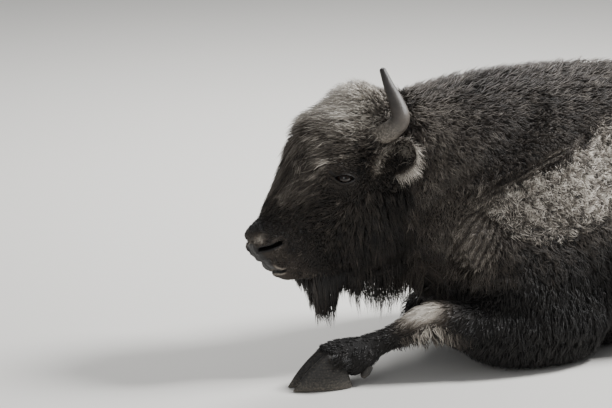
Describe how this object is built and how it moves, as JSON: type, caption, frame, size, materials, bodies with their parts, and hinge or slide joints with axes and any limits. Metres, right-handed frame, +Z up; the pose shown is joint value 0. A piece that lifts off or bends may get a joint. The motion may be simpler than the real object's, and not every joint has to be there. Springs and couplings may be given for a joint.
{
  "type": "wisent",
  "caption": "Life-size wisent lying on its brisket with the left foreleg stretched forward, head lowered and turned slightly left, short upcurved horns, beard and throat mane.",
  "frame": {"origin": "on the floor, under the middle of the bounding box", "axes": "+X from the nose towards the tail, +Y to the animal's right, +Z up"},
  "size_m": [2.298, 0.8674, 0.8052],
  "materials": {
    "coat": "dense matte hair, dark grey-brown",
    "mane": "long matte hair, almost black-brown",
    "horn": "dark grey horn, faintly ringed, satin",
    "eye": "wet dark brown",
    "hoof": "dark worn horn"
  },
  "bodies": {
    "root": {"trunk": "coat", "neck": "coat", "head": "coat", "tail": "coat", "foreleg_left": "coat", "foreleg_right": "coat", "hindleg_left": "coat", "hindleg_right": "coat", "ear_left": "coat", "ear_right": "coat", "beard": "mane", "throat_mane": "mane", "horn_left": "horn", "horn_right": "horn", "eye_left": "eye", "eye_right": "eye", "hoof_fore_left_outer": "hoof", "hoof_fore_left_inner": "hoof", "hoof_fore_right_outer": "hoof", "hoof_fore_right_inner": "hoof", "hoof_hind_left_outer": "hoof", "hoof_hind_left_inner": "hoof", "hoof_hind_right_outer": "hoof", "hoof_hind_right_inner": "hoof", "dewclaw_fore_left_outer": "hoof", "dewclaw_fore_left_inner": "hoof", "dewclaw_fore_right_outer": "hoof", "dewclaw_fore_right_inner": "hoof", "dewclaw_hind_left_outer": "hoof", "dewclaw_hind_left_inner": "hoof", "dewclaw_hind_right_outer": "hoof", "dewclaw_hind_right_inner": "hoof"}
  },
  "joints": []
}
